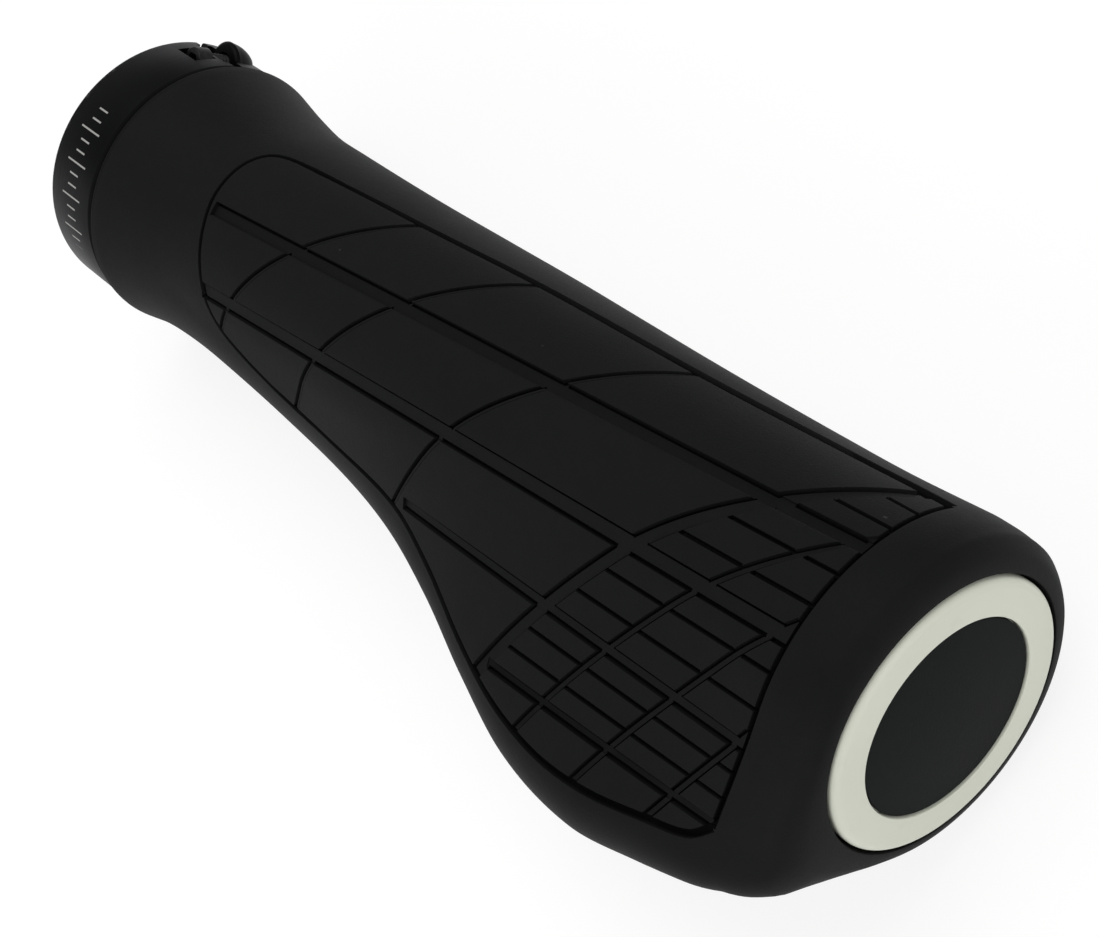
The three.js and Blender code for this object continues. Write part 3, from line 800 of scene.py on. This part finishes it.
# Clamp screw
# The socket-head screw that closes the band. Steel, turned and blackened, with a broached
# hexagon, sunk in the band's pocket and threaded into the lug.
SCREW_REACH = HEAD_WALL + SCREW_TIP
KEY_WIDTH = 2.0
KEY_DEPTH = 1.1
THREAD_PITCH = 0.45
THREAD_NECK = 0.86
screw = add_rod(-HEAD_LENGTH, 0, HEAD_RADIUS, 64)
round_edges(screw, lambda x, y, z: near(x, -HEAD_LENGTH), 0.25, 3)
select_parts(screw, "FACE", lambda x, y, z: near(x, 0))
bpy.ops.mesh.inset(thickness=(HEAD_RADIUS - SCREW_RADIUS) * MM)
for _ in range(int(SCREW_REACH / THREAD_PITCH)):
    for across in (THREAD_NECK, 1 / THREAD_NECK):
        bpy.ops.mesh.extrude_region_move(TRANSFORM_OT_translate={"value": (THREAD_PITCH / 2 * MM, 0, 0)})
        bpy.ops.transform.resize(value=(1, across, across), center_override=(0, 0, 0),
                                 constraint_axis=(False, True, True))
bpy.ops.object.mode_set(mode="OBJECT")
hexagon = add_rod(-HEAD_LENGTH - 1, -HEAD_LENGTH + KEY_DEPTH, KEY_WIDTH / math.sqrt(3), 6)
carve(screw, hexagon)
move_to(screw, SCREW_FRAME @ Matrix.Translation((-HEAD_WALL * MM, 0, 0)))
settle(screw, "socket_screw")
smooth(screw, 30)
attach(screw, "root")
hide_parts("clamp_screw")

shader, wire = finish_of(screw, "blackened_steel", {"Specular IOR Level": 0.3})
place, x, y, z = wire.axes()
patina = wire.noise(place, 1400, 4, 0.6)
colour = patina.above(0.3, 0.75).tint((0.007, 0.007, 0.0075), (0.022, 0.0215, 0.021))
feed(shader, colour=colour, metallic=0.6 - patina * 0.1, roughness=0.36 + patina * 0.22,
     normal=wire.bump(patina, 0.00003, 0.5))


# Core tube
# The stiff tube inside the rubber. Moulded in glass-filled nylon, with a slotted collar that
# the clamp band squeezes on the bar, and a key that stops the rubber from turning.
CORE_LOW, CORE_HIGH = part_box("core_sleeve")
CORE_START, CORE_END = CORE_LOW[0] / MM, CORE_HIGH[0] / MM
CORE_RADIUS = CORE_HIGH[1] / MM
CORE_BORE = 11.2
COLLAR_SLOTS = 3
SLOT_WIDTH = 1.6
SLOT_LENGTH = 7.5
core = make_tube(CORE_START, CORE_END, CORE_RADIUS, CORE_BORE, "core_tube")
round_edges(core, lambda x, y, z: near(x, CORE_START) or near(x, CORE_END), 0.25, 2)
rib = add_rib(0)
round_edges(rib, lambda x, y, z: near(y, -RIB_TOP), 0.4, 3)
carve(core, rib, "UNION")
for k in range(COLLAR_SLOTS):
    turn = Matrix.Rotation((k + 0.5) * 2 * math.pi / COLLAR_SLOTS, 4, "X")
    slot_low = (CORE_START - 1, 0, -SLOT_WIDTH / 2)
    slot_high = (CORE_START + SLOT_LENGTH, 2 * CORE_RADIUS, SLOT_WIDTH / 2)
    carve(core, add_block(slot_low, slot_high, turn))
smooth(core, 30)
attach(core, "root")
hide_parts("core_sleeve")

shader, wire = finish_of(core, "glass_filled_nylon", {"Specular IOR Level": 0.45})
place, x, y, z = wire.axes()
fibre = wire.make("ShaderNodeCombineXYZ", {}, {"X": x * 1.5, "Y": y * 7, "Z": z * 7})
fibre = wire.noise(fibre, 1.0, 4, 0.65)
flow = wire.noise(place, 90, 3)
colour = (fibre * 0.6 + flow * 0.4).tint((0.009, 0.009, 0.01), (0.026, 0.026, 0.027))
feed(shader, colour=colour, roughness=0.42 + fibre * 0.24, normal=wire.bump(fibre, 0.00004, 0.6))


# End plug
# The plug that closes the bar's open end. Injection-moulded in off-white plastic, with a
# rounded rim, a round pocket for the inlay, and a slotted hollow spigot that springs in the bar.
PLUG_START, PLUG_END = PLUG_LOW[0] / MM, PLUG_HIGH[0] / MM
PLUG_EDGE = 0.9
INLAY_LOW, INLAY_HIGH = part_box("end_plug_inlay")
INLAY_RADIUS = INLAY_HIGH[1] / MM
POCKET_RADIUS = INLAY_RADIUS + 0.15
SPIGOT_RADIUS = CORE_BORE - FIT_GAP
SPIGOT_WALL = 1.6
SPIGOT_SLOT = 2.4
plug = add_rod(PLUG_SEAT, PLUG_END, PLUG_RADIUS, 192)
select_parts(plug, "FACE", lambda x, y, z: near(x, PLUG_END))
bpy.ops.mesh.inset(thickness=(PLUG_RADIUS - POCKET_RADIUS) * MM)
bpy.ops.mesh.extrude_region_move(TRANSFORM_OT_translate={"value": (INLAY_LOW[0] - PLUG_HIGH[0], 0, 0)})
select_parts(plug, "FACE", lambda x, y, z: near(x, PLUG_SEAT))
bpy.ops.mesh.inset(thickness=(PLUG_RADIUS - SPIGOT_RADIUS) * MM)
bpy.ops.mesh.extrude_region_move(TRANSFORM_OT_translate={"value": ((PLUG_START - PLUG_SEAT) * MM, 0, 0)})
bpy.ops.mesh.inset(thickness=SPIGOT_WALL * MM)
bpy.ops.mesh.extrude_region_move(TRANSFORM_OT_translate={"value": ((PLUG_SEAT - PLUG_START) * MM, 0, 0)})
bpy.ops.object.mode_set(mode="OBJECT")
round_edges(plug, lambda x, y, z: near(x, PLUG_END) and math.hypot(y, z) > PLUG_RADIUS - 0.02, PLUG_EDGE, 8)
round_edges(plug, lambda x, y, z: near(x, PLUG_END) and math.hypot(y, z) < POCKET_RADIUS + 0.02, 0.12, 3)
round_edges(plug, lambda x, y, z: near(x, PLUG_START) and math.hypot(y, z) > SPIGOT_RADIUS - 0.02, 0.6, 3)
for turn in (0, math.pi / 2):
    slot_low = (PLUG_START - 1, -2 * SPIGOT_RADIUS, -SPIGOT_SLOT / 2)
    slot_high = (PLUG_SEAT - 3, 2 * SPIGOT_RADIUS, SPIGOT_SLOT / 2)
    carve(plug, add_block(slot_low, slot_high, Matrix.Rotation(turn, 4, "X")))
settle(plug, "bar_plug")
smooth(plug, 30)
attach(plug, "root")
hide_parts("end_plug")

shader, wire = finish_of(plug, "offwhite_plastic", {"Specular IOR Level": 0.4})
place, x, y, z = wire.axes()
cloud = wire.noise(place, 70, 3)
spark = wire.noise(place, 3600, 2)
smudge = wire.noise(place, 260, 5, 0.65).above(0.56, 0.8)
colour = (cloud * 0.5 + smudge * 0.35 + 0.1).tint((0.73, 0.752, 0.642), (0.63, 0.648, 0.545))
feed(shader, colour=colour, roughness=0.4 + cloud * 0.08 + smudge * 0.12,
     normal=wire.bump(spark, 0.00002, 0.5))


# Inlay
# The round insert in the plug's face. A grained black plastic disc, pressed into its pocket
# and left bare.
inlay = add_rod(INLAY_LOW[0] / MM, INLAY_HIGH[0] / MM, INLAY_RADIUS, 160)
round_edges(inlay, lambda x, y, z: near(x, INLAY_HIGH[0] / MM), 0.15, 3)
settle(inlay, "plug_insert")
smooth(inlay, 30)
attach(inlay, "root")
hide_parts("end_plug_inlay")

shader, wire = finish_of(inlay, "grained_black", {"Specular IOR Level": 0.1})
place, x, y, z = wire.axes()
pebble = wire.make("ShaderNodeTexVoronoi", {}, {"Vector": place, "Scale": 5200}, "Distance")
grain = wire.noise(place, 4800, 4, 0.6)
colour = (grain * 0.7 + pebble * 0.4).tint((0.0012, 0.002, 0.0018), (0.0072, 0.0088, 0.0084))
feed(shader, colour=colour, roughness=0.62 + grain * 0.2,
     normal=wire.bump(grain + pebble * 0.6, 0.00004, 0.8))


# Floor
# A plain white sheet under the grip. It reads as white to the camera and keeps a soft shadow.
FLOOR_SIZE = 6.0
FLOOR_GAP = 0.0001
LIFT_SHARE, LIFT_STRENGTH = 0.7, 1.16
bpy.ops.mesh.primitive_plane_add(size=FLOOR_SIZE, location=(0, 0, cad_box[0][2] - FLOOR_GAP))
floor = settle(bpy.context.object, "floor")
shader, wire = finish_of(floor, "white_sheet", {"Specular IOR Level": 0.1, "Roughness": 0.9,
                                               "Base Color": (0.8, 0.8, 0.8, 1)})
camera_ray, glossy_ray, glass_ray = [wire.make("ShaderNodeLightPath", {}, {}, f"Is {kind} Ray")
                                     for kind in ("Camera", "Glossy", "Transmission")]
seen = wire.maths("MINIMUM", camera_ray + glossy_ray + glass_ray, 1.0)
lift = wire.make("ShaderNodeEmission", {}, {"Color": (1, 1, 1, 1), "Strength": LIFT_STRENGTH})
sheet = Wire(wire.tree, shader.outputs[0])
blend = wire.make("ShaderNodeMixShader", {}, {0: seen * LIFT_SHARE, 1: sheet, 2: lift})
output = wire.tree.nodes["Material Output"]
wire.tree.links.new(blend.socket, output.inputs["Surface"])


# Light
# One broad softbox over the palm side, a fill from the wing side, low ones behind the cap and
# the ring, and a pale room.
def add_softbox(name, place, target, size, power):
    deselect()
    bpy.ops.object.light_add(type="AREA", location=place)
    lamp = bpy.context.object
    lamp.name = name
    lamp.data.size = size
    lamp.data.energy = power
    lamp.rotation_euler = (Vector(target) - Vector(place)).to_track_quat("-Z", "Y").to_euler()


MIDDLE = (0.07, 0, 0)
add_softbox("overhead", (-0.1, 0.35, 1.0), MIDDLE, 0.9, 4.8)
add_softbox("wing_fill", (0.35, -0.9, 0.45), MIDDLE, 0.7, 3.0)
add_softbox("cap_fill", (1.0, 0.2, 0.35), MIDDLE, 0.6, 2.3)
add_softbox("ring_fill", (-0.65, -0.6, 0.3), MIDDLE, 0.4, 0.6)

world = bpy.data.worlds.new("pale_room")
world.use_nodes = True
bpy.context.scene.world = world
world.node_tree.nodes["Background"].inputs["Color"].default_value = (1, 1, 1, 1)
world.node_tree.nodes["Background"].inputs["Strength"].default_value = 0.38


# Camera
# A long lens above the outboard end, rolled so that the grip runs down to the right.
CAMERA_PLACE = Vector((0.22661, -0.00221, 0.17514))
CAMERA_AHEAD = Vector((-0.6404, -0.0024, -0.7680)).normalized()
CAMERA_TOP = Vector((-0.4506, 0.8110, 0.3731))
CAMERA_LENS = 71.97
camera_right = CAMERA_AHEAD.cross(CAMERA_TOP).normalized()
camera_up = camera_right.cross(CAMERA_AHEAD)
lens = bpy.data.cameras.new("camera")
lens.sensor_width = 36
lens.lens = CAMERA_LENS
lens.clip_start = 0.01
camera = bpy.data.objects.new("camera", lens)
camera.matrix_world = Matrix((camera_right, camera_up, -CAMERA_AHEAD)).transposed().to_4x4()
camera.location = CAMERA_PLACE
bpy.context.scene.collection.objects.link(camera)
bpy.context.scene.camera = camera
bpy.context.scene.view_settings.view_transform = "Standard"
